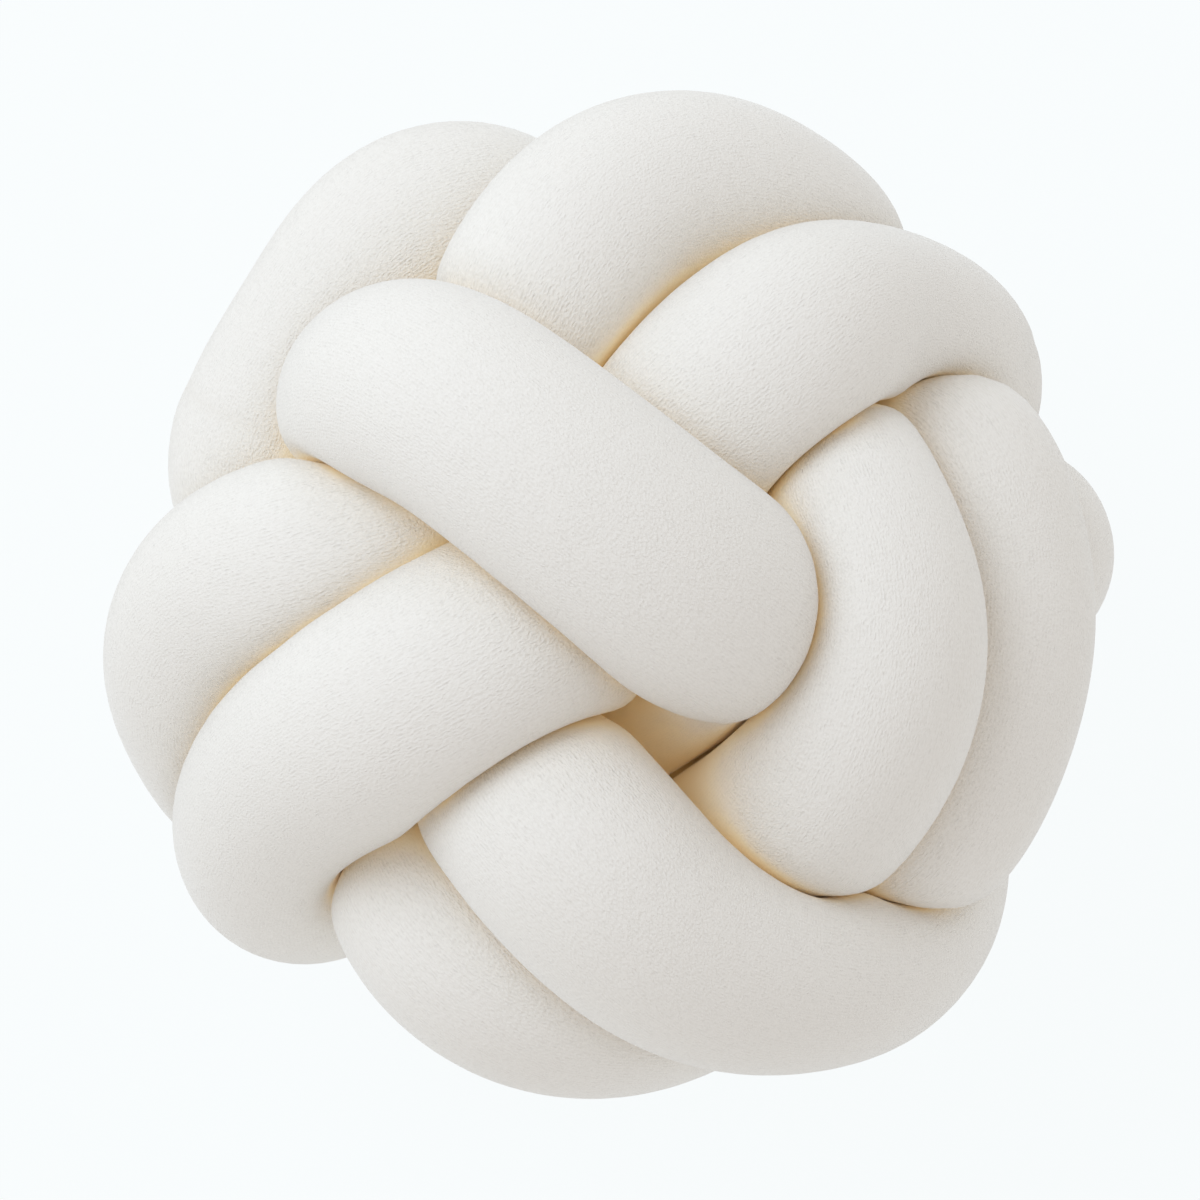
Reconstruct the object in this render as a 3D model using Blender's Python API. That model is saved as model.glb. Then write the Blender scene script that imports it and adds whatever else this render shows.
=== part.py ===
"""Knot cushion: one stuffed jersey tube, sewn end to end into a ring and knotted into a ball.

Metres, +Z up. The cushion lies on its back, with the face of the knot up.
"""

import bpy
import numpy as np

MM = 0.001

RING_POINTS = 14  # points round the tube
RINGS = 326  # rings along the whole tube
REST_HEIGHT = -119.0  # height in mm, from the ball's middle, of the flats it rests on
BALL_RADIUS = 153.0  # the inner passes stay inside this
PRESS_GAP = 1.0  # air left in the creases where strands press together, in mm
PRESS_SHARPNESS = 12  # higher gives flatter sides and tighter corners to a pressed strand
PACKING = 0.8  # strands settle at this share of their two radii
FINE = 3  # points of the centre line to each ring, for the pressing
NEIGHBOUR_ALONG = 75.0  # nearer than this along the tube, strands don't push apart, in mm
SAME_PLACE_ALONG = 24.0  # nearer than this along the tube, strands don't press, in mm
NEIGHBOUR_REACH = 140.0  # farther apart than this, two strands can't touch, in mm
TIGHTEST_BEND = 34.0  # bends tighter than this open while the knot settles, in mm
INNER_BEND = 0.8  # the inside of a bend stays short of the bend's middle by this share
SETTLE_STEP = 8.0  # spacing along the tube while the knot settles, in mm
SETTLE_ROUNDS = 220

SHOWN = 0.91  # how firmly a pass that shows on the face keeps its line
INNER = 0.01  # how firmly a hidden pass does

# The tube's way through the knot, pass by pass, as one closed loop. Each row is a station on
# the tube's centre line: x, y and z from the ball's middle, and the tube's radius, in mm.
PASSES = (
    ("over the top right of the face", SHOWN, (
        (102, 60, -35, 32),
        (92, 75, 2, 30),
        (70, 81, 38, 29),
        (46, 65, 68, 34),
    )),
    ("under the middle strand", INNER, (
        (26, 28, 51, 34),
    )),
    ("down the lower left of the face and round its rim", SHOWN, (
        (-16, -6, 74, 34),
        (-49, -25, 86, 35),
        (-80, -43, 60, 33),
        (-95, -68, 10, 33),
        (-85, -78, -34, 31),
    )),
    ("through the heart of the knot", INNER, (
        (-51, -62, -55, 23),
        (-2, -42, -4, 26),
        (29, -19, 17, 27),
        (44, -3, 50, 26),
    )),
    ("middle strand", SHOWN, (
        (36, -4, 87, 32),
        (-15, 33, 110, 32),
        (-49, 57, 87, 32),
        (-64, 55, 42, 32),
    )),
    ("down and across the back", INNER, (
        (-65, 56, -10, 27),
        (-61, 40, -60, 28),
        (-50, -1, -97, 33),
        (-15, -49, -102, 33),
        (26, -85, -80, 28),
        (53, -80, -42, 23),
        (69, -78, -16, 25),
    )),
    ("up the right of the face", SHOWN, (
        (82, -70, 24, 34),
        (101, -41, 32, 33),
        (109, -9, 31, 33),
        (108, 11, 28, 33),
        (94, 45, 25, 33),
    )),
    ("round the upper left of the back", INNER, (
        (76, 57, -4, 28),
        (51, 70, -52, 24),
        (27, 72, -100, 32),
        (-15, 78, -108, 34),
        (-60, 80, -86, 34),
        (-95, 49, -65, 32),
        (-97, -1, -45, 28),
        (-81, -49, -35, 26),
    )),
    ("along the bottom of the face", SHOWN, (
        (-55, -73, 20, 31),
        (-46, -91, 42, 33),
        (-28, -107, 42, 33),
        (1, -113, 25, 33),
        (34, -107, -15, 30),
    )),
    ("up the right of the back", INNER, (
        (60, -91, -65, 29),
        (71, -51, -90, 30),
        (70, -1, -75, 28),
        (74, 50, -85, 30),
        (71, 89, -50, 31),
    )),
    ("over the top of the face", SHOWN, (
        (53, 104, 0, 33),
        (24, 115, 30, 33),
        (-5, 103, 50, 33),
        (-22, 76, 55, 33),
    )),
    ("under the middle strand again", INNER, (
        (-42, 48, 40, 31),
    )),
    ("out over the left of the face", SHOWN, (
        (-70, 14, 60, 33),
        (-100, 5, 42, 33),
        (-116, -15, 15, 33),
        (-107, -48, -35, 33),
    )),
    ("right across the back", INNER, (
        (-87, -73, -78, 31),
        (-40, -60, -85, 29),
        (17, -29, -90, 29),
        (75, -1, -100, 33),
        (110, 8, -88, 33),
    )),
    ("bump on the right rim", SHOWN, (
        (126, 16, -42, 34),
    )),
    ("in under the right of the face", INNER, (
        (98, -7, -8, 25),
        (67, -31, -20, 22),
        (41, -59, -40, 22),
        (24, -86, -40, 22),
        (25, -92, -10, 22),
    )),
    ("up the face, right of the middle", SHOWN, (
        (33, -78, 12, 29),
        (53, -63, 46, 33),
        (71, -33, 74, 33),
        (75, -4, 76, 32),
        (65, 29, 62, 30),
    )),
    ("under the top right", INNER, (
        (55, 54, 18, 29),
        (19, 81, -25, 26),
    )),
    ("round the upper left of the face", SHOWN, (
        (-20, 103, -20, 30),
        (-38, 110, -5, 33),
        (-60, 103, 5, 33),
        (-79, 80, 5, 31),
        (-95, 50, -1, 33),
        (-99, 29, -8, 33),
    )),
    ("under the two left strands", INNER, (
        (-92, 6, -16, 27),
        (-67, -24, 10, 26),
    )),
    ("down to the lower right of the face", SHOWN, (
        (-31, -46, 56, 32),
        (-13, -65, 82, 33),
        (15, -93, 76, 32),
        (43, -105, 58, 31),
        (69, -107, 31, 29),
        (88, -90, -15, 32),
    )),
    ("up the right side, behind", INNER, (
        (100, -59, -55, 27),
        (100, -13, -60, 26),
        (102, 30, -60, 28),
    )),
)

JERSEY = (0.84, 0.83, 0.80, 1.0)


def clear_scene():
    for obj in list(bpy.data.objects):
        bpy.data.objects.remove(obj)


def jersey_material():
    material = bpy.data.materials.new("jersey")
    material.use_nodes = True
    shader = material.node_tree.nodes["Principled BSDF"]
    shader.inputs["Base Color"].default_value = JERSEY
    shader.inputs["Roughness"].default_value = 0.9
    shader.inputs["Metallic"].default_value = 0.0
    material.diffuse_color = JERSEY
    return material


def unit(vectors):
    return vectors / np.maximum(np.linalg.norm(vectors, axis=-1, keepdims=True), 1e-9)


def spaced(rows, count):
    """The closed run of rows, at count even steps along its length, with the step's length."""
    ring = np.vstack([rows, rows[:1]])
    legs = np.linalg.norm(np.diff(ring[:, :3], axis=0), axis=1)
    along = np.concatenate([[0.0], np.cumsum(legs)])
    at = np.arange(count) * along[-1] / count
    columns = [np.interp(at, along, column) for column in ring.T]
    return np.stack(columns, axis=1), along[-1] / count


def closed_spline(rows, per_span=24):
    """A smooth closed curve through the rows, as per_span points to each span."""
    count = len(rows)
    span = np.linalg.norm(np.roll(rows, -1, 0)[:, :3] - rows[:, :3], axis=1) ** 0.75
    system = np.zeros((count, count))
    pull = np.zeros_like(rows)
    for i in range(count):
        before, after, following = span[i - 1], span[i], (i + 1) % count
        system[i, i - 1] += before
        system[i, i] += 2 * (before + after)
        system[i, following] += after
        rise = (rows[following] - rows[i]) / after
        pull[i] = 6 * (rise - (rows[i] - rows[i - 1]) / before)
    bend = np.linalg.solve(system, pull)
    curve = []
    for i in range(count):
        width, following = span[i], (i + 1) % count
        s = (np.arange(per_span) / per_span * width)[:, None]
        curve.append(
            bend[i] * (width - s) ** 3 / (6 * width)
            + bend[following] * s**3 / (6 * width)
            + (rows[i] / width - bend[i] * width / 6) * (width - s)
            + (rows[following] / width - bend[following] * width / 6) * s
        )
    return np.concatenate(curve)


def curvature(line, step):
    """The curvature vector at each point of a closed line."""
    tangent = unit(np.roll(line, -1, 0) - np.roll(line, 1, 0))
    return (np.roll(tangent, -1, 0) - np.roll(tangent, 1, 0)) / (2 * step)


def blurred(values):
    return (np.roll(values, 1, 0) + 2 * values + np.roll(values, -1, 0)) / 4


def towards_neighbours(line, reach):
    return (np.roll(line, reach, 0) + np.roll(line, -reach, 0)) / 2 - line


def along_apart(count, step):
    """How far apart along the closed tube each two of its points are."""
    index = np.arange(count)
    apart = np.abs(index[:, None] - index[None])
    return np.minimum(apart, count - apart) * step


def settle(line, radius, firmness, step):
    """Strands that lie too close push apart, as stuffed tubes do when a knot is drawn up."""
    start = line.copy()
    other_strand = along_apart(len(line), step) > NEIGHBOUR_ALONG
    wanted = PACKING * (radius[:, None] + radius[None])
    loose = (1 - firmness)[:, None]
    for _ in range(SETTLE_ROUNDS):
        between = line[:, None] - line[None]
        distance = np.linalg.norm(between, axis=2) + 1e-9
        push = np.where(other_strand & (distance < wanted), wanted - distance, 0.0)
        share = (push**2 / distance)[:, :, None]
        move = 0.35 * (between * share).sum(1) / (push.sum(1)[:, None] + 8.0) * loose
        line = line + blurred(blurred(move))
        for reach, weight in ((1, 0.25), (3, 0.0875)):
            line = line + weight * towards_neighbours(line, reach) * loose
        line = line + (start - line) * (firmness * 0.5)[:, None]
        for _ in range(2):
            tight = np.linalg.norm(curvature(line, step), axis=1) * TIGHTEST_BEND - 1
            tight = np.clip(tight, 0, 1)
            tight = np.maximum(tight, np.maximum(np.roll(tight, 1), np.roll(tight, -1)))
            line = line + 0.8 * blurred(tight)[:, None] * towards_neighbours(line, 1)
        out = np.linalg.norm(line, axis=1)
        over = np.maximum(out + radius - BALL_RADIUS, 0)
        line = line - line / out[:, None] * (0.5 * over)[:, None] * loose
    return line


def knot_line(count):
    """The settled centre line at count even steps: its points, its radii and the step."""
    rows = [(*row, firmness) for _, firmness, stations in PASSES for row in stations]
    curve = closed_spline(np.array(rows, float))
    _, fine = spaced(curve, len(curve))
    rough, step = spaced(curve, round(fine * len(curve) / SETTLE_STEP))
    shown = np.clip((rough[:, 4] - INNER) / (SHOWN - INNER), 0, 1)
    firmness = INNER + (SHOWN - INNER) * shown**2
    line = settle(rough[:, :3], rough[:, 3], firmness, step)
    for _ in range(3):
        line = blurred(line)
    smooth = closed_spline(np.column_stack([line, rough[:, 3]]), 6)
    even, step = spaced(smooth, count)
    return even[:, :3], even[:, 3], step


def pressed(line, radius, step, directions):
    """How far the cloth reaches from each FINE-th point of the line in each direction, in mm.

    Between each two strands lies a plane that neither passes, so they flatten against it.
    The inside of a bend stops short of the bend's middle.
    """
    limit = np.empty(directions.shape[:2])
    apart = along_apart(len(line), step)
    for ring, facing in enumerate(directions):
        i = ring * FINE
        others = line - line[i]
        distance = np.linalg.norm(others, axis=1)
        near = (apart[i] > SAME_PLACE_ALONG) & (distance < NEIGHBOUR_REACH)
        away = others[near] / distance[near][:, None]
        plane = (distance[near] + radius[i] - radius[near] - PRESS_GAP) / 2
        plane = np.maximum(plane, 0.18 * distance[near])
        limit[ring] = (plane / np.maximum(facing @ away.T, 1e-3)).min(1)
    inward = (directions * curvature(line, step)[::FINE, None]).sum(2)
    limit = np.minimum(limit, INNER_BEND / np.maximum(inward, 1e-6))
    power = -PRESS_SHARPNESS
    return (radius[::FINE, None] ** power + limit**power) ** (1 / power)


def swept_tube(name, line, radius):
    """A round tube along the closed line, as a mesh whose rings follow the line's points."""
    data = bpy.data.curves.new(name + "_path", "CURVE")
    data.dimensions = "3D"
    data.bevel_depth = 1.0
    data.bevel_resolution = (RING_POINTS - 4) // 2
    spline = data.splines.new("POLY")
    spline.points.add(len(line) - 1)
    spline.use_cyclic_u = True
    for point, place, thickness in zip(spline.points, line, radius):
        point.co = (*place, 1.0)
        point.radius = thickness
    path = bpy.data.objects.new(name + "_path", data)
    bpy.context.scene.collection.objects.link(path)
    bpy.context.view_layer.update()
    evaluated = path.evaluated_get(bpy.context.evaluated_depsgraph_get())
    mesh = bpy.data.meshes.new_from_object(evaluated)
    bpy.data.objects.remove(path)
    return mesh


def tube_mesh(name):
    line, radius, step = knot_line(RINGS * FINE)
    centres = line[::FINE]
    mesh = swept_tube(name, centres, radius[::FINE])
    points = np.empty(len(mesh.vertices) * 3, np.float32)
    mesh.vertices.foreach_get("co", points)
    rings = points.reshape(RINGS, RING_POINTS, 3).astype(float)
    directions = unit(rings - centres[:, None])
    reach = pressed(line, radius, step, directions)
    rings = centres[:, None] + reach[:, :, None] * directions
    rings[:, :, 2] = np.maximum(rings[:, :, 2], REST_HEIGHT)
    rings = rings.reshape(-1, 3)
    low, high = rings.min(0), rings.max(0)
    rings -= ((low[0] + high[0]) / 2, (low[1] + high[1]) / 2, low[2])
    mesh.vertices.foreach_set("co", (rings * MM).astype(np.float32).ravel())
    mesh.update()
    mesh.name = name
    return mesh


def build():
    clear_scene()
    collection = bpy.data.collections.new("knot_cushion")
    bpy.context.scene.collection.children.link(collection)
    mesh = tube_mesh("tube")
    mesh.materials.clear()
    mesh.materials.append(jersey_material())
    mesh.polygons.foreach_set("use_smooth", [True] * len(mesh.polygons))
    collection.objects.link(bpy.data.objects.new("tube", mesh))


build()
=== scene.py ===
"""Knot cushion: the stuffed jersey tube in full detail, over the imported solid."""

import math

import bpy
import numpy as np
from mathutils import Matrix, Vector
from mathutils.bvhtree import BVHTree


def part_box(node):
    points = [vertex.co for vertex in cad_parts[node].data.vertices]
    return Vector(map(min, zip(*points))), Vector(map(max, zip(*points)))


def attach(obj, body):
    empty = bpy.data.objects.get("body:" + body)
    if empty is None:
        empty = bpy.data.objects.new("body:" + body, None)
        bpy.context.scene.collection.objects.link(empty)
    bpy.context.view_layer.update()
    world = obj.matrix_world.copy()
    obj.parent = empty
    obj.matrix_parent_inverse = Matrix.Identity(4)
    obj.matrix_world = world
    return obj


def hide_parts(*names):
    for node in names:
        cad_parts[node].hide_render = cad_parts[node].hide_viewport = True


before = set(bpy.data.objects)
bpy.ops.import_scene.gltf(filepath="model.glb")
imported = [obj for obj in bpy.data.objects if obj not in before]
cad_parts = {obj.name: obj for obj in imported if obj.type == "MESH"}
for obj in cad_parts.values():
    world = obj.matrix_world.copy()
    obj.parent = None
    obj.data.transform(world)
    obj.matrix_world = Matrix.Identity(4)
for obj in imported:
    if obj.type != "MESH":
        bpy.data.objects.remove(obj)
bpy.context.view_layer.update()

MM = 0.001

RING_POINTS = 64  # points round the tube
RINGS = 1480  # rings along the whole tube
REST_HEIGHT = -119.0  # height in mm, from the ball's middle, of the flats it rests on
BALL_RADIUS = 153.0  # the inner passes stay inside this
PRESS_GAP = 0.7  # air left in the creases where strands press together, in mm
PRESS_SHARPNESS = 14  # higher gives flatter sides and tighter corners to a pressed strand
PACKING = 0.8  # strands settle at this share of their two radii
NEIGHBOUR_ALONG = 75.0  # nearer than this along the tube, strands don't push apart, in mm
SAME_PLACE_ALONG = 24.0  # nearer than this along the tube, strands don't press, in mm
NEIGHBOUR_REACH = 140.0  # farther apart than this, two strands can't touch, in mm
TIGHTEST_BEND = 34.0  # bends tighter than this open while the knot settles, in mm
INNER_BEND = 0.8  # the inside of a bend stays short of the bend's middle by this share
SETTLE_STEP = 8.0  # spacing along the tube while the knot settles, in mm
SETTLE_ROUNDS = 220
PUSH_RATE = 0.35  # how much of an overlap one settling round takes away
PUSH_EASE = 8.0  # an overlap smaller than this pushes less, in mm
STRAIGHTENING = ((1, 0.25), (3, 0.0875))  # steps along the tube, and the pull towards them
HOLD_RATE = 0.5  # how hard a firm strand returns to its line
UNBEND_RATE = 0.8  # how hard a bend that is too tight opens
SQUEEZE_RATE = 0.5  # how much of what stands out of the ball one round takes back
LEAST_ROOM = 0.18  # a strand keeps this share of the way to the next one
NOISE_GAIN = 1.8  # brings smoothed noise back to about -1 to 1

# Relief of the stuffed tube, in mm.
STUFFING_SWELL, STUFFING_LENGTH = 0.8, 45.0
FOLD_LENGTH, FOLD_PATCH_LENGTH = 5.5, 30.0
FOLD_AT_CONTACT, FOLD_IN_BEND = 0.30, 0.55
CONTACT_REACH, CONTACT_RANGE = 7.0, (-6.0, 40.0)
BEND_GAIN, BEND_START = 60.0, 0.35  # folds begin where a bend is tighter than this
SEAM_DEPTH, SEAM_WIDTH = 0.35, 2.0
SEAM_SWELL, SEAM_SWELL_REACH = 0.9, 30.0
PUCKERS, PUCKER_DEPTH, PUCKER_REACH = 16, 0.12, 5.0

SHOWN = 0.91  # how firmly a pass that shows on the face keeps its line
INNER = 0.01  # how firmly a hidden pass does

# The tube's way through the knot, pass by pass, as one closed loop. Each row is a station on
# the tube's centre line: x, y and z from the ball's middle, and the tube's radius, in mm.
PASSES = (
    ("over the top right of the face", SHOWN, (
        (102, 60, -35, 32),
        (92, 75, 2, 30),
        (70, 81, 38, 29),
        (46, 65, 68, 34),
    )),
    ("under the middle strand", INNER, (
        (26, 28, 51, 34),
    )),
    ("down the lower left of the face and round its rim", SHOWN, (
        (-16, -6, 74, 34),
        (-49, -25, 86, 35),
        (-80, -43, 60, 33),
        (-95, -68, 10, 33),
        (-85, -78, -34, 31),
    )),
    ("through the heart of the knot", INNER, (
        (-51, -62, -55, 23),
        (-2, -42, -4, 26),
        (29, -19, 17, 27),
        (44, -3, 50, 26),
    )),
    ("middle strand", SHOWN, (
        (36, -4, 87, 32),
        (-15, 33, 110, 32),
        (-49, 57, 87, 32),
        (-64, 55, 42, 32),
    )),
    ("down and across the back", INNER, (
        (-65, 56, -10, 27),
        (-61, 40, -60, 28),
        (-50, -1, -97, 33),
        (-15, -49, -102, 33),
        (26, -85, -80, 28),
        (53, -80, -42, 23),
        (69, -78, -16, 25),
    )),
    ("up the right of the face", SHOWN, (
        (82, -70, 24, 34),
        (101, -41, 32, 33),
        (109, -9, 31, 33),
        (108, 11, 28, 33),
        (94, 45, 25, 33),
    )),
    ("round the upper left of the back", INNER, (
        (76, 57, -4, 28),
        (51, 70, -52, 24),
        (27, 72, -100, 32),
        (-15, 78, -108, 34),
        (-60, 80, -86, 34),
        (-95, 49, -65, 32),
        (-97, -1, -45, 28),
        (-81, -49, -35, 26),
    )),
    ("along the bottom of the face", SHOWN, (
        (-55, -73, 20, 31),
        (-46, -91, 42, 33),
        (-28, -107, 42, 33),
        (1, -113, 25, 33),
        (34, -107, -15, 30),
    )),
    ("up the right of the back", INNER, (
        (60, -91, -65, 29),
        (71, -51, -90, 30),
        (70, -1, -75, 28),
        (74, 50, -85, 30),
        (71, 89, -50, 31),
    )),
    ("over the top of the face", SHOWN, (
        (53, 104, 0, 33),
        (24, 115, 30, 33),
        (-5, 103, 50, 33),
        (-22, 76, 55, 33),
    )),
    ("under the middle strand again", INNER, (
        (-42, 48, 40, 31),
    )),
    ("out over the left of the face", SHOWN, (
        (-70, 14, 60, 33),
        (-100, 5, 42, 33),
        (-116, -15, 15, 33),
        (-107, -48, -35, 33),
    )),
    ("right across the back", INNER, (
        (-87, -73, -78, 31),
        (-40, -60, -85, 29),
        (17, -29, -90, 29),
        (75, -1, -100, 33),
        (110, 8, -88, 33),
    )),
    ("bump on the right rim", SHOWN, (
        (126, 16, -42, 34),
    )),
    ("in under the right of the face", INNER, (
        (98, -7, -8, 25),
        (67, -31, -20, 22),
        (41, -59, -40, 22),
        (24, -86, -40, 22),
        (25, -92, -10, 22),
    )),
    ("up the face, right of the middle", SHOWN, (
        (33, -78, 12, 29),
        (53, -63, 46, 33),
        (71, -33, 74, 33),
        (75, -4, 76, 32),
        (65, 29, 62, 30),
    )),
    ("under the top right", INNER, (
        (55, 54, 18, 29),
        (19, 81, -25, 26),
    )),
    ("round the upper left of the face", SHOWN, (
        (-20, 103, -20, 30),
        (-38, 110, -5, 33),
        (-60, 103, 5, 33),
        (-79, 80, 5, 31),
        (-95, 50, -1, 33),
        (-99, 29, -8, 33),
    )),
    ("under the two left strands", INNER, (
        (-92, 6, -16, 27),
        (-67, -24, 10, 26),
    )),
    ("down to the lower right of the face", SHOWN, (
        (-31, -46, 56, 32),
        (-13, -65, 82, 33),
        (15, -93, 76, 32),
        (43, -105, 58, 31),
        (69, -107, 31, 29),
        (88, -90, -15, 32),
    )),
    ("up the right side, behind", INNER, (
        (100, -59, -55, 27),
        (100, -13, -60, 26),
        (102, 30, -60, 28),
    )),
)

SEAM_AT = (-94.0, 53.0, 0.0)  # where the tube's two ends are sewn together
BUCKLE = ((120.0, 67.0), (125.0, 69.0), (127.0, 72.0), (129.0, 80.0))  # a fold line, x and y
BUCKLE_DEPTH, BUCKLE_WIDTH = 1.3, 1.6
BUCKLE_LOWEST, BUCKLE_FACING = -45.0, -0.5  # height, and the least upward facing of its cloth
BUCKLE_STRAND, BUCKLE_STRAND_REACH = (101.0, 60.0, -35.0), 45.0  # only the strand near here buckles

SKY_RAYS = 32  # sent from a point to see how open it lies
SKY_REACH = 110.0  # how far they go, in mm
SKY_RING_STEP = 4  # every so many rings, and every so many points round them
SKY_POINT_STEP = 2
SKY_START = 0.4  # mm off the cloth
GOLDEN_ANGLE = 2.399963

CAMERA_DISTANCE = 1.4  # from the ball's middle
MM_PER_PIXEL = 0.297  # at the ball's middle, in the photograph's 1200 pixels
FRAME_PIXELS = 1200
BALL_AT = (606, 598)  # the ball's middle in the photograph


def unit(vectors):
    return vectors / np.maximum(np.linalg.norm(vectors, axis=-1, keepdims=True), 1e-9)


def spaced(rows, count):
    """The closed run of rows, at count even steps along its length, with the step's length."""
    ring = np.vstack([rows, rows[:1]])
    legs = np.linalg.norm(np.diff(ring[:, :3], axis=0), axis=1)
    along = np.concatenate([[0.0], np.cumsum(legs)])
    at = np.arange(count) * along[-1] / count
    columns = [np.interp(at, along, column) for column in ring.T]
    return np.stack(columns, axis=1), along[-1] / count


def closed_spline(rows, per_span=24):
    """A smooth closed curve through the rows, as per_span points to each span."""
    count = len(rows)
    span = np.linalg.norm(np.roll(rows, -1, 0)[:, :3] - rows[:, :3], axis=1) ** 0.75
    system = np.zeros((count, count))
    pull = np.zeros_like(rows)
    for i in range(count):
        before, after, following = span[i - 1], span[i], (i + 1) % count
        system[i, i - 1] += before
        system[i, i] += 2 * (before + after)
        system[i, following] += after
        rise = (rows[following] - rows[i]) / after
        pull[i] = 6 * (rise - (rows[i] - rows[i - 1]) / before)
    bend = np.linalg.solve(system, pull)
    curve = []
    for i in range(count):
        width, following = span[i], (i + 1) % count
        s = (np.arange(per_span) / per_span * width)[:, None]
        curve.append(
            bend[i] * (width - s) ** 3 / (6 * width)
            + bend[following] * s**3 / (6 * width)
            + (rows[i] / width - bend[i] * width / 6) * (width - s)
            + (rows[following] / width - bend[following] * width / 6) * s
        )
    return np.concatenate(curve)


def curvature(line, step):
    """The curvature vector at each point of a closed line."""
    tangent = unit(np.roll(line, -1, 0) - np.roll(line, 1, 0))
    return (np.roll(tangent, -1, 0) - np.roll(tangent, 1, 0)) / (2 * step)


def blurred(values, axis=0):
    return (np.roll(values, 1, axis) + 2 * values + np.roll(values, -1, axis)) / 4


def towards_neighbours(line, reach):
    return (np.roll(line, reach, 0) + np.roll(line, -reach, 0)) / 2 - line


def along_apart(count, step):
    """How far apart along the closed tube each two of its points are."""
    index = np.arange(count)
    apart = np.abs(index[:, None] - index[None])
    return np.minimum(apart, count - apart) * step


def settle(line, radius, firmness, step):
    """Strands that lie too close push apart, as stuffed tubes do when a knot is drawn up."""
    start = line.copy()
    other_strand = along_apart(len(line), step) > NEIGHBOUR_ALONG
    wanted = PACKING * (radius[:, None] + radius[None])
    loose = (1 - firmness)[:, None]
    for _ in range(SETTLE_ROUNDS):
        between = line[:, None] - line[None]
        distance = np.linalg.norm(between, axis=2) + 1e-9
        push = np.where(other_strand & (distance < wanted), wanted - distance, 0.0)
        share = (push**2 / distance)[:, :, None]
        move = PUSH_RATE * (between * share).sum(1) / (push.sum(1)[:, None] + PUSH_EASE) * loose
        line = line + blurred(blurred(move))
        for reach, weight in STRAIGHTENING:
            line = line + weight * towards_neighbours(line, reach) * loose
        line = line + (start - line) * (firmness * HOLD_RATE)[:, None]
        for _ in range(2):
            tight = np.linalg.norm(curvature(line, step), axis=1) * TIGHTEST_BEND - 1
            tight = np.clip(tight, 0, 1)
            tight = np.maximum(tight, np.maximum(np.roll(tight, 1), np.roll(tight, -1)))
            line = line + UNBEND_RATE * blurred(tight)[:, None] * towards_neighbours(line, 1)
        out = np.linalg.norm(line, axis=1)
        over = np.maximum(out + radius - BALL_RADIUS, 0)
        line = line - line / out[:, None] * (SQUEEZE_RATE * over)[:, None] * loose
    return line


def knot_line(count):
    """The settled centre line at count even steps: its points, its radii and the step."""
    rows = [(*row, firmness) for _, firmness, stations in PASSES for row in stations]
    curve = closed_spline(np.array(rows, float))
    _, fine = spaced(curve, len(curve))
    rough, step = spaced(curve, round(fine * len(curve) / SETTLE_STEP))
    shown = np.clip((rough[:, 4] - INNER) / (SHOWN - INNER), 0, 1)
    firmness = INNER + (SHOWN - INNER) * shown**2
    line = settle(rough[:, :3], rough[:, 3], firmness, step)
    for _ in range(3):
        line = blurred(line)
    smooth = closed_spline(np.column_stack([line, rough[:, 3]]), 6)
    even, step = spaced(smooth, count)
    return even[:, :3], even[:, 3], step


def frames(line):
    """Two directions across the tube at each ring, which turn as little as they can."""
    count = len(line)
    tangent = unit(np.roll(line, -1, 0) - np.roll(line, 1, 0))
    across = np.zeros_like(tangent)
    across[0] = unit(np.cross(tangent[0], (0.3, 0.2, 1.0)))
    for i in range(1, count):
        side = across[i - 1] - (across[i - 1] @ tangent[i]) * tangent[i]
        across[i] = unit(side)
    end = across[-1] - (across[-1] @ tangent[0]) * tangent[0]
    other = np.cross(tangent[0], across[0])
    twist = np.arctan2(end @ other, end @ across[0])
    turn = -twist * np.arange(count)[:, None] / count
    upright = np.cross(tangent, across)
    u = np.cos(turn) * across + np.sin(turn) * upright
    return u, np.cross(tangent, u)


def contact_limits(line, radius, step, directions):
    """How far the cloth may reach from each ring before it meets the next strand, in mm."""
    limit = np.empty(directions.shape[:2])
    apart = along_apart(len(line), step)
    for i, facing in enumerate(directions):
        others = line - line[i]
        distance = np.linalg.norm(others, axis=1)
        near = (apart[i] > SAME_PLACE_ALONG) & (distance < NEIGHBOUR_REACH)
        away = others[near] / distance[near][:, None]
        plane = (distance[near] + radius[i] - radius[near] - PRESS_GAP) / 2
        plane = np.maximum(plane, LEAST_ROOM * distance[near])
        limit[i] = (plane / np.maximum(facing @ away.T, 1e-3)).min(1)
    inward = (directions * curvature(line, step)[:, None]).sum(2)
    return np.minimum(limit, INNER_BEND / np.maximum(inward, 1e-6)), inward


def noise(rng, cells_along, cells_round):
    """Smooth periodic noise over the rings and their points, from -1 to 1."""
    grid = rng.uniform(-1, 1, (cells_along, cells_round))

    def taps(count, cells):
        at = np.arange(count) * cells / count
        base = np.floor(at).astype(int)
        part = at - base
        weights = (
            (1 - part) ** 3 / 6,
            (3 * part**3 - 6 * part**2 + 4) / 6,
            (-3 * part**3 + 3 * part**2 + 3 * part + 1) / 6,
            part**3 / 6,
        )
        return [((base + k - 1) % cells, weight) for k, weight in enumerate(weights)]

    total = np.zeros((RINGS, RING_POINTS))
    for rows, row_weight in taps(RINGS, cells_along):
        for columns, column_weight in taps(RING_POINTS, cells_round):
            total += row_weight[:, None] * column_weight[None] * grid[rows][:, columns]
    return total * NOISE_GAIN


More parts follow.
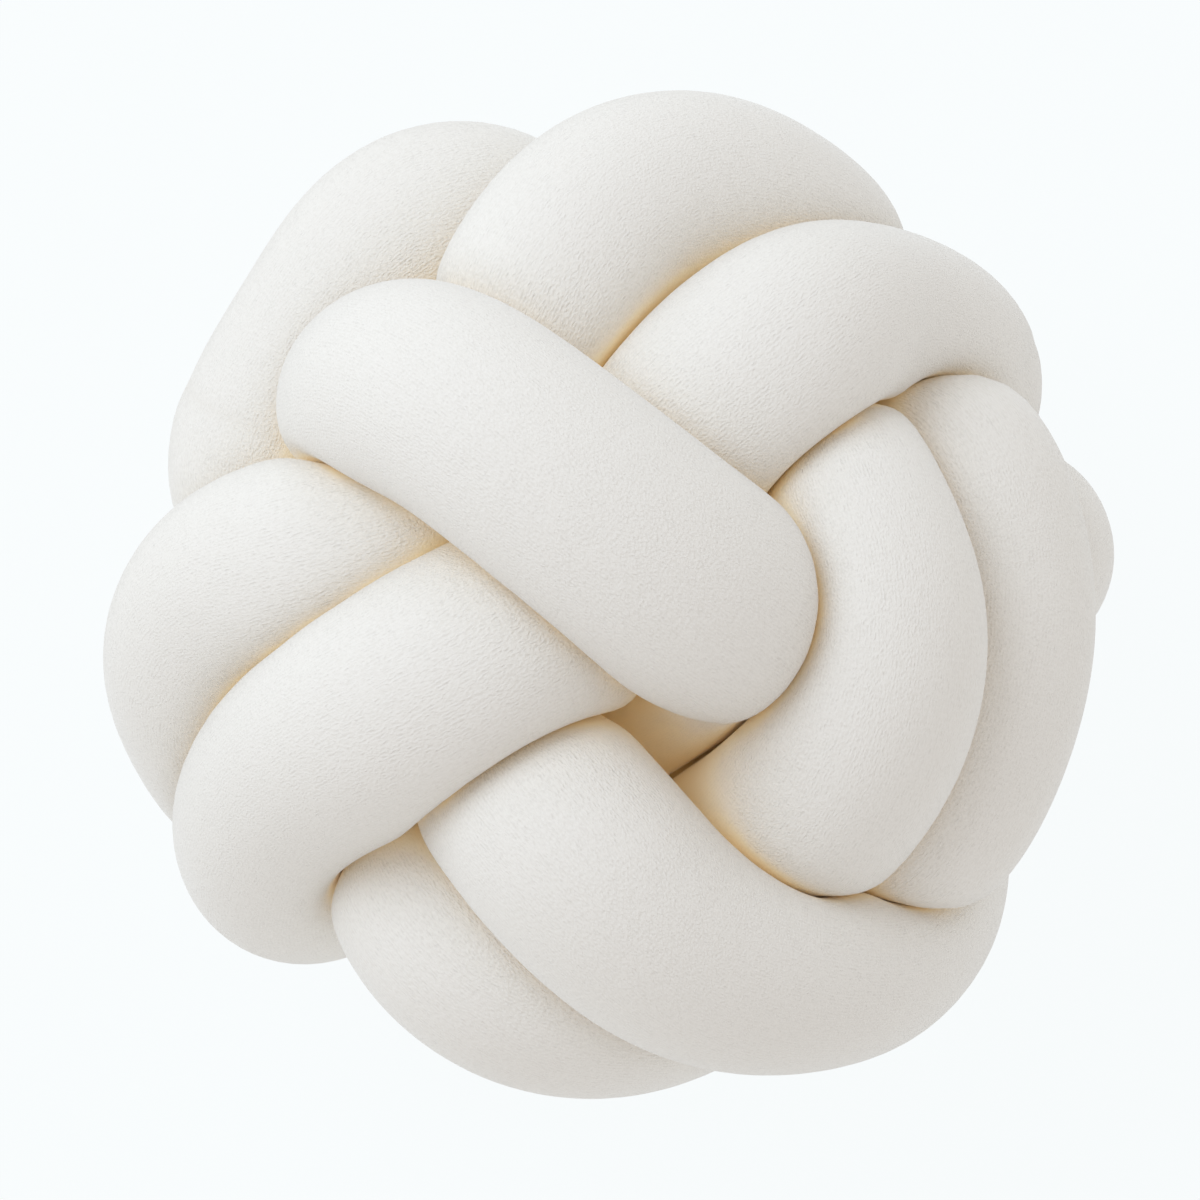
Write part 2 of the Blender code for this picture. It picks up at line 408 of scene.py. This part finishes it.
def line_distance(points, stops):
    """The distance of each x, y point from a bent line, and how far along the line it is."""
    best = np.full(points.shape[:-1], 1e3)
    place = np.zeros(points.shape[:-1])
    lengths = [math.dist(a, b) for a, b in zip(stops, stops[1:])]
    done = 0.0
    for a, b, length in zip(stops, stops[1:], lengths):
        a, way = np.array(a), (np.array(b) - a) / length
        along = np.clip((points - a) @ way, 0, length)
        away = np.linalg.norm(points - a - along[..., None] * way, axis=-1)
        nearer = away < best
        best = np.where(nearer, away, best)
        place = np.where(nearer, (done + along) / sum(lengths), place)
        done += length
    return best, place


def tube_shape():
    """The pressed, wrinkled tube: its rings of points in mm, and what its cloth looks like."""
    rng = np.random.default_rng(7)
    line, radius, step = knot_line(RINGS)
    u, v = frames(line)
    angle = 2 * np.pi * np.arange(RING_POINTS) / RING_POINTS
    directions = np.cos(angle)[None, :, None] * u[:, None] + np.sin(angle)[None, :, None] * v[:, None]
    limit, inward = contact_limits(line, radius, step, directions)

    length = RINGS * step
    seam_ring = np.linalg.norm(line - SEAM_AT, axis=1).argmin()
    past_seam = (np.arange(RINGS) - seam_ring) * step
    past_seam = (past_seam + length / 2) % length - length / 2

    stuffing = STUFFING_SWELL * noise(rng, int(length / STUFFING_LENGTH), 5)
    folds = noise(rng, int(length / FOLD_LENGTH), 6)
    folds = folds * (0.5 + 0.5 * noise(rng, int(length / FOLD_PATCH_LENGTH), 4))
    near_contact = np.exp(-((np.clip(limit - radius[:, None], *CONTACT_RANGE) / CONTACT_REACH) ** 2))
    inside_bend = np.clip(inward * BEND_GAIN - BEND_START, 0, 1)
    fold_height = FOLD_AT_CONTACT * near_contact + FOLD_IN_BEND * inside_bend
    full = radius[:, None] + stuffing + folds * fold_height
    full += (SEAM_SWELL * np.exp(-np.abs(past_seam) / SEAM_SWELL_REACH) * (past_seam > 0))[:, None]
    seam = np.exp(-((past_seam / SEAM_WIDTH) ** 2))
    pucker_fade = np.exp(-((past_seam / PUCKER_REACH) ** 2))[:, None]
    puckers = PUCKER_DEPTH * np.cos(angle * PUCKERS)[None] * pucker_fade
    full = full - SEAM_DEPTH * seam[:, None] + puckers

    power = -PRESS_SHARPNESS
    reach = (full**power + limit**power) ** (1 / power)
    for _ in range(2):
        reach = blurred(reach, 0)
    reach = blurred(reach, 1)
    rings = line[:, None] + reach[:, :, None] * directions

    away, place = line_distance(rings[:, :, :2], BUCKLE)
    facing = (rings[:, :, 2] > BUCKLE_LOWEST) & (directions[:, :, 2] > BUCKLE_FACING)
    near_line = np.linalg.norm(line - BUCKLE_STRAND, axis=1)[:, None] < BUCKLE_STRAND_REACH
    depth = BUCKLE_DEPTH * np.exp(-((away / BUCKLE_WIDTH) ** 2))
    fold = depth * np.sin(np.pi * np.clip(place, 0.05, 1)) * facing * near_line
    rings -= fold[:, :, None] * directions

    rings[:, :, 2] = np.maximum(rings[:, :, 2], REST_HEIGHT)
    return rings, step, seam_ring, np.repeat(seam[:, None], RING_POINTS, 1)


def upsampled(coarse, axis, times):
    """A closed run of values stretched to times as many, by straight lines between them."""
    following = np.roll(coarse, -1, axis)
    steps = [coarse + (following - coarse) * (k / times) for k in range(times)]
    joined = np.stack(steps, axis=axis + 1)
    shape = list(coarse.shape)
    shape[axis] *= times
    return joined.reshape(shape)


def openness(rings, faces):
    """How much of the sky each point sees, from 0 to 1: the part of a spray of rays that get out."""
    normals = unit(np.cross(np.roll(rings, -1, 0) - np.roll(rings, 1, 0),
                            np.roll(rings, -1, 1) - np.roll(rings, 1, 1)))
    middle = rings.mean(1, keepdims=True)
    normals *= np.where(((rings - middle) * normals).sum(2) < 0, -1.0, 1.0)[:, :, None]
    tree = BVHTree.FromPolygons(rings.reshape(-1, 3).tolist(), faces.tolist())
    index = np.arange(SKY_RAYS)
    up = np.sqrt(1 - (index + 0.5) / SKY_RAYS)
    turn = index * GOLDEN_ANGLE
    out = np.sqrt(1 - up**2)
    spray = np.stack([np.cos(turn) * out, np.sin(turn) * out, up], axis=1)
    seen = np.empty((RINGS // SKY_RING_STEP, RING_POINTS // SKY_POINT_STEP))
    for i in range(seen.shape[0]):
        for j in range(seen.shape[1]):
            normal = normals[i * SKY_RING_STEP, j * SKY_POINT_STEP]
            side = unit(np.cross(normal, (0.31, 0.52, 0.79)))
            rays = spray @ np.stack([side, np.cross(normal, side), normal])
            start = Vector(rings[i * SKY_RING_STEP, j * SKY_POINT_STEP] + normal * SKY_START)
            free = sum(tree.ray_cast(start, Vector(ray), SKY_REACH)[0] is None for ray in rays)
            seen[i, j] = free / SKY_RAYS
    return upsampled(upsampled(seen, 0, SKY_RING_STEP), 1, SKY_POINT_STEP)


def tube_piece(material):
    rings, step, seam_ring, seam = tube_shape()
    low, high = rings.reshape(-1, 3).min(0), rings.reshape(-1, 3).max(0)
    box_low, box_high = (np.array(corner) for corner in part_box("tube"))
    middle = (box_low + box_high) / 2 / MM
    shift = np.array(
        [middle[0] - (low[0] + high[0]) / 2, middle[1] - (low[1] + high[1]) / 2, box_low[2] / MM - low[2]]
    )
    points = ((rings + shift) * MM).reshape(-1, 3)
    ring, place = np.divmod(np.arange(RINGS * RING_POINTS), RING_POINTS)
    next_ring, next_place = (ring + 1) % RINGS, (place + 1) % RING_POINTS
    faces = np.stack(
        [
            ring * RING_POINTS + place,
            ring * RING_POINTS + next_place,
            next_ring * RING_POINTS + next_place,
            next_ring * RING_POINTS + place,
        ],
        axis=1,
    )
    sky = openness(rings, faces)
    mesh = bpy.data.meshes.new("tube_cloth")
    mesh.from_pydata(points.tolist(), [], faces.tolist())
    from_seam = (ring - seam_ring) % RINGS
    corners_u = np.stack([from_seam, from_seam, from_seam + 1, from_seam + 1], axis=1) * step * MM
    corners_v = np.stack([place, place + 1, place + 1, place], axis=1) / RING_POINTS
    lay = mesh.uv_layers.new(name="lay")
    lay.data.foreach_set("uv", np.stack([corners_u, corners_v], axis=2).astype(np.float32).ravel())
    for name, values in (("seam", seam), ("sky", sky)):
        layer = mesh.attributes.new(name, "FLOAT", "POINT")
        layer.data.foreach_set("value", values.astype(np.float32).ravel())
    mesh.polygons.foreach_set("use_smooth", [True] * len(faces))
    mesh.materials.append(material)
    mesh.update()
    piece = bpy.data.objects.new("tube_cloth", mesh)
    bpy.context.scene.collection.objects.link(piece)
    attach(piece, "root")
    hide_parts("tube")
    return piece, shift


class Nodes:
    """Short calls for building a material's node tree."""

    def __init__(self, name):
        self.material = bpy.data.materials.new(name)
        self.material.use_nodes = True
        self.tree = self.material.node_tree
        self.shader = self.tree.nodes["Principled BSDF"]

    def add(self, kind, **settings):
        node = self.tree.nodes.new(kind)
        for key, value in settings.items():
            setattr(node, key, value)
        return node

    def link(self, source, target):
        self.tree.links.new(source, target)

    def math(self, operation, *values):
        node = self.add("ShaderNodeMath", operation=operation)
        for socket, value in zip(node.inputs, values):
            if isinstance(value, (int, float)):
                socket.default_value = value
            else:
                self.link(value, socket)
        return node.outputs[0]

    def mix(self, factor, a, b):
        node = self.add("ShaderNodeMix", data_type="RGBA")
        for socket, value in ((node.inputs[0], factor), (node.inputs[6], a), (node.inputs[7], b)):
            if isinstance(value, (int, float, tuple)):
                socket.default_value = value
            else:
                self.link(value, socket)
        return node.outputs[2]


# The cloth's own cream colour where it sees the whole sky, with a painted crease tint: warmer and tan
# where it sees little sky, standing in for the shade and bounced light in the creases.
CLOTH_AND_PAINTED_CREASE_TINT = (
    (0.00, (0.995, 0.900, 0.700, 1.0)),
    (0.14, (0.995, 0.930, 0.780, 1.0)),
    (0.22, (0.960, 0.905, 0.815, 1.0)),
    (0.35, (0.925, 0.885, 0.820, 1.0)),
    (0.50, (0.905, 0.875, 0.825, 1.0)),
    (0.70, (0.910, 0.888, 0.845, 1.0)),
    (0.92, (0.922, 0.903, 0.865, 1.0)),
)
THREAD_GAP_AND_SHADE = (0.64, 0.60, 0.53, 1.0)
SEAM_SHADE = (0.62, 0.55, 0.45, 1.0)
WALES = 188  # knit columns round the tube
COURSE = 1.15 * MM  # from one row of knit to the next
CLOTH_RADIUS = 31.0 * MM  # of the tube as it is knitted
GRAIN_DEPTH = 0.085 * MM
UNEVENNESS = 0.8 * MM
WANDER_SCALE = 60.0  # of the noise that bends the knit's columns and rows
COLUMN_WANDER, ROW_WANDER = 1.6, -2.3
LOOP_SHARE, RIB_SHARE = 0.3, 0.8
PATCH_SCALE, PATCH_GAIN, PATCH_OFFSET = 450.0, 3.2, -1.1  # where the knit shows, and how much
TOOTH_SCALE = 1600.0  # of the finest grain
SWELL_SCALE = 60.0  # of the cloth's soft unevenness
TOOTH_RELIEF, KNIT_RELIEF = 4.5, 0.35
TOOTH_SHADE, KNIT_SHADE = 2.8, 0.7
CONTRAST_FALL, CONTRAST_TOP = -0.8, 1.7  # the grain is clearer where the cloth sees less sky; in the colour this is partly painted shade for the grazing light there
DEEP_FADE = 5.0  # but fades out in the deepest creases
THREAD_CONTRAST = -0.15
# A steady pull towards the thread-gap colour, made stronger where the cloth sees less sky: painted shade.
THREAD_AND_PAINTED_SHADE = 0.04
SEAM_TINT = 0.09


def jersey():
    n = Nodes("jersey_cloth")
    lay = n.add("ShaderNodeUVMap", uv_map="lay")
    parts = n.add("ShaderNodeSeparateXYZ")
    n.link(lay.outputs[0], parts.inputs[0])
    along, round_ = parts.outputs[0], parts.outputs[1]

    # The tube laid out straight, so that a pattern closes round it and follows it.
    turn = n.math("MULTIPLY", round_, 2 * math.pi)
    straight = n.add("ShaderNodeCombineXYZ")
    n.link(n.math("MULTIPLY", n.math("COSINE", turn), CLOTH_RADIUS), straight.inputs[0])
    n.link(n.math("MULTIPLY", n.math("SINE", turn), CLOTH_RADIUS), straight.inputs[1])
    n.link(along, straight.inputs[2])

    def pattern(scale, detail, stretch=1.0):
        """Noise on the straight tube; a stretch over 1 draws it out lengthwise."""
        drawn = n.add("ShaderNodeMapping")
        drawn.inputs["Scale"].default_value = (1.0, 1.0, 1.0 / stretch)
        n.link(straight.outputs[0], drawn.inputs[0])
        noise_ = n.add("ShaderNodeTexNoise")
        noise_.inputs["Scale"].default_value = scale
        noise_.inputs["Detail"].default_value = detail
        n.link(drawn.outputs[0], noise_.inputs["Vector"])
        return noise_.outputs[0]

    sky = n.add("ShaderNodeAttribute", attribute_name="sky").outputs["Fac"]
    seam = n.add("ShaderNodeAttribute", attribute_name="seam").outputs["Fac"]

    wander = n.math("SUBTRACT", pattern(WANDER_SCALE, 1.0), 0.5)
    columns = n.math("MULTIPLY_ADD", round_, float(WALES), n.math("MULTIPLY", wander, COLUMN_WANDER))
    rows = n.math("MULTIPLY_ADD", along, 1 / COURSE, n.math("MULTIPLY", wander, ROW_WANDER))
    ribs = n.math("SINE", n.math("MULTIPLY", columns, 2 * math.pi))
    loops = n.math("SINE", n.math("MULTIPLY", rows, 2 * math.pi))
    patches = n.math("MULTIPLY_ADD", pattern(PATCH_SCALE, 2.0, 1.5), PATCH_GAIN, PATCH_OFFSET)
    tooth = n.math("SUBTRACT", pattern(TOOTH_SCALE, 1.0, 1.1), 0.5)
    knit = n.math("MULTIPLY_ADD", loops, LOOP_SHARE, n.math("MULTIPLY", ribs, RIB_SHARE))
    knit = n.math("MULTIPLY", knit, patches)
    closeness = n.math("MULTIPLY_ADD", sky, CONTRAST_FALL, CONTRAST_TOP)
    contrast = n.math("MINIMUM", closeness, n.math("MULTIPLY", sky, DEEP_FADE))
    relief = n.math("MULTIPLY_ADD", tooth, TOOTH_RELIEF, n.math("MULTIPLY", knit, KNIT_RELIEF))
    relief = n.math("MULTIPLY", relief, contrast)

    fine_bump = n.add("ShaderNodeBump")
    fine_bump.inputs["Strength"].default_value = 1.0
    fine_bump.inputs["Distance"].default_value = GRAIN_DEPTH
    n.link(relief, fine_bump.inputs["Height"])
    soft_bump = n.add("ShaderNodeBump")
    soft_bump.inputs["Strength"].default_value = 0.5
    soft_bump.inputs["Distance"].default_value = UNEVENNESS
    n.link(pattern(SWELL_SCALE, 3.0, 0.5), soft_bump.inputs["Height"])
    n.link(fine_bump.outputs[0], soft_bump.inputs["Normal"])
    n.link(soft_bump.outputs[0], n.shader.inputs["Normal"])

    # Painted crease tint: the cloth's colour is picked by how much sky each point sees.
    cloth_and_crease_ramp = n.add("ShaderNodeValToRGB")
    ramp = cloth_and_crease_ramp.color_ramp
    while len(ramp.elements) < len(CLOTH_AND_PAINTED_CREASE_TINT):
        ramp.elements.new(0.5)
    for element, (place, shade) in zip(ramp.elements, CLOTH_AND_PAINTED_CREASE_TINT):
        element.position = place
        element.color = shade
    n.link(sky, cloth_and_crease_ramp.inputs[0])
    # The knit's darker threads and a steady darkening, both mixed in more where the cloth sees less sky:
    # the knit's own grain, with painted shade for the grazing light there.
    thread_and_shade = n.math("MULTIPLY_ADD", tooth, TOOTH_SHADE, n.math("MULTIPLY", knit, KNIT_SHADE))
    thread_and_shade = n.math("MULTIPLY", n.math("MULTIPLY_ADD", thread_and_shade, THREAD_CONTRAST, THREAD_AND_PAINTED_SHADE), contrast)
    colour = n.mix(thread_and_shade, cloth_and_crease_ramp.outputs[0], THREAD_GAP_AND_SHADE)
    colour = n.mix(n.math("MULTIPLY", seam, SEAM_TINT), colour, SEAM_SHADE)
    n.link(colour, n.shader.inputs["Base Color"])
    n.shader.inputs["Roughness"].default_value = 0.9
    n.shader.inputs["Specular IOR Level"].default_value = 0.25
    n.shader.inputs["Sheen Weight"].default_value = 0.5
    n.shader.inputs["Sheen Roughness"].default_value = 0.35
    return n.material


FLOOR_HALF = 6.0
FLOOR_GLOW = (0.895, 0.925, 0.932, 1.0)  # the even white that the floor shows
ROOM_COLOUR = (1.04, 1.0, 0.97, 1.0)
ROOM_STRENGTH = 0.64
KEY_COLOUR = (0.87, 1.0, 1.13)


def make_floor():
    mesh = bpy.data.meshes.new("floor")
    half = FLOOR_HALF
    corners = [(-half, -half, 0.0), (half, -half, 0.0), (half, half, 0.0), (-half, half, 0.0)]
    mesh.from_pydata(corners, [], [(0, 1, 2, 3)])
    floor = bpy.data.objects.new("floor", mesh)
    bpy.context.scene.collection.objects.link(floor)
    n = Nodes("floor_white")
    n.shader.inputs["Base Color"].default_value = (0.06, 0.06, 0.06, 1.0)
    n.shader.inputs["Roughness"].default_value = 1.0
    n.shader.inputs["Specular IOR Level"].default_value = 0.0
    n.shader.inputs["Emission Color"].default_value = FLOOR_GLOW
    n.shader.inputs["Emission Strength"].default_value = 1.0
    mesh.materials.append(n.material)


def make_light(name, azimuth, height, distance, size, power, colour, target):
    """A round soft light, aimed at the target, as seen from it at this compass angle and height."""
    data = bpy.data.lights.new(name, "AREA")
    data.shape = "DISK"
    data.size = size
    data.energy = power
    data.color = colour
    around, up = math.radians(azimuth), math.radians(height)
    way = Vector((math.cos(around) * math.cos(up), math.sin(around) * math.cos(up), math.sin(up)))
    light = bpy.data.objects.new(name, data)
    light.location = Vector(target) + distance * way
    light.rotation_euler = (-way).to_track_quat("-Z", "Y").to_euler()
    bpy.context.scene.collection.objects.link(light)


def make_lights(middle):
    make_light("key", azimuth=135, height=45, distance=2.2, size=1.6, power=16.5,
               colour=KEY_COLOUR, target=middle)
    world = bpy.context.scene.world or bpy.data.worlds.new("room")
    bpy.context.scene.world = world
    world.use_nodes = True
    sky = world.node_tree.nodes["Background"]
    sky.inputs[0].default_value = ROOM_COLOUR
    sky.inputs[1].default_value = ROOM_STRENGTH


def make_camera(shift):
    data = bpy.data.cameras.new("photo_camera")
    data.sensor_width = 36.0
    data.lens = 36.0 * CAMERA_DISTANCE / (MM_PER_PIXEL * FRAME_PIXELS * MM)
    camera = bpy.data.objects.new("photo_camera", data)
    off_x = (BALL_AT[0] - FRAME_PIXELS / 2) * MM_PER_PIXEL
    off_y = (BALL_AT[1] - FRAME_PIXELS / 2) * MM_PER_PIXEL
    place = (shift[0] - off_x, shift[1] + off_y, shift[2])
    camera.location = (place[0] * MM, place[1] * MM, place[2] * MM + CAMERA_DISTANCE)
    bpy.context.scene.collection.objects.link(camera)
    bpy.context.scene.camera = camera


def main():
    _, shift = tube_piece(jersey())
    middle = tuple(float(value) * MM for value in shift)
    make_floor()
    make_lights(middle)
    make_camera(shift)
    bpy.context.scene.view_settings.view_transform = "Standard"
    bpy.context.scene.cycles.max_bounces = 16
    bpy.context.scene.cycles.diffuse_bounces = 14


main()
